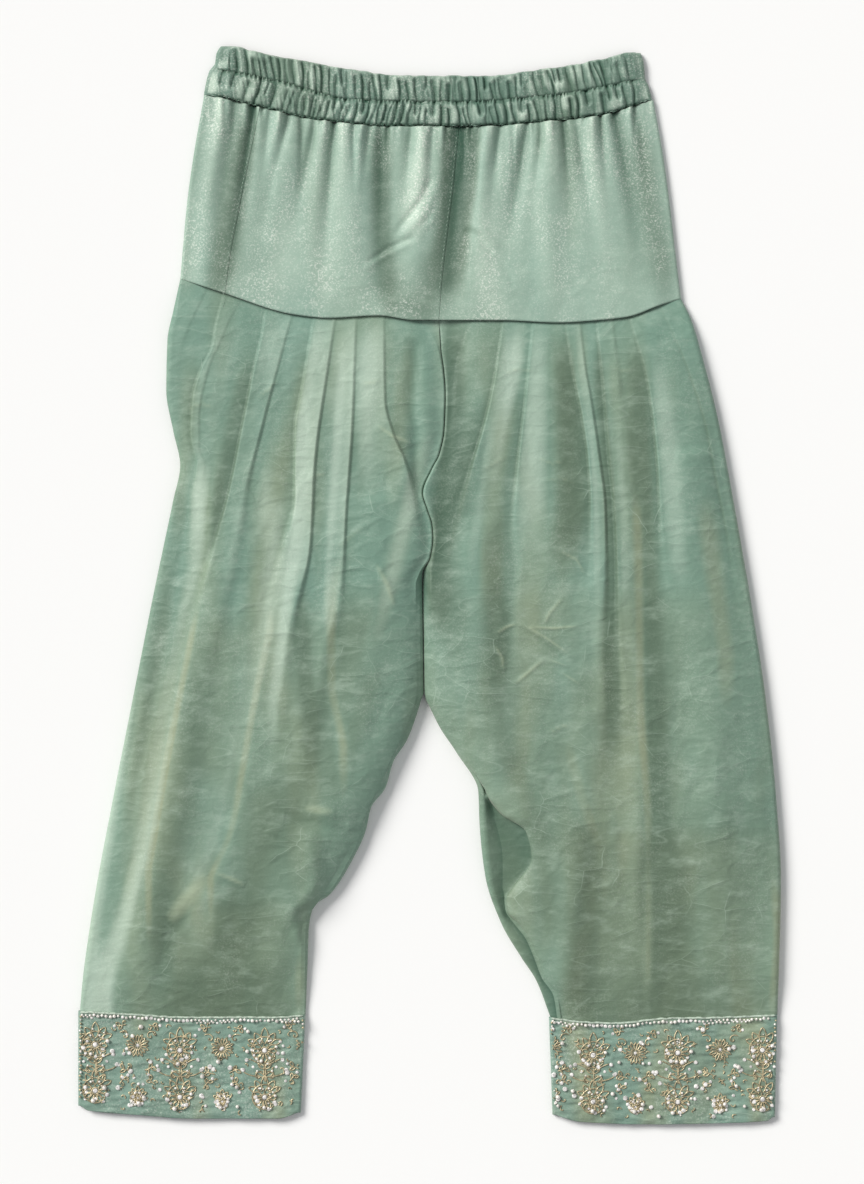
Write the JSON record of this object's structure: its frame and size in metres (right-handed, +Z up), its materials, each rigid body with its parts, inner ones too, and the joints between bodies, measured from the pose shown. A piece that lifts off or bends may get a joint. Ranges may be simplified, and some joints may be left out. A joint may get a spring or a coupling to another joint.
{
  "type": "farshi salwar",
  "caption": "Wide pleated trousers laid flat, with a gathered elastic waist, a plain fitted yoke and embroidered cuffs, for dressing or display.",
  "frame": {"origin": "middle of the garment's outline, on the surface it lies on", "axes": "+Y from hem to waist, +X across the front towards the picture's right, +Z up from the surface, out of the front of the garment"},
  "size_m": [0.6058, 0.93, 0.0249],
  "materials": {
    "organza": "mint shot tissue organza with a warm sheen",
    "embroidered": "mint organza thick with gold coil embroidery, beads and small stones"
  },
  "bodies": {
    "root": {"waistband": "organza", "yoke_front_left": "organza", "yoke_front_right": "organza", "yoke_back": "organza", "leg_left": "organza", "leg_right": "organza", "cuff_left": "embroidered", "cuff_right": "embroidered"}
  },
  "joints": []
}
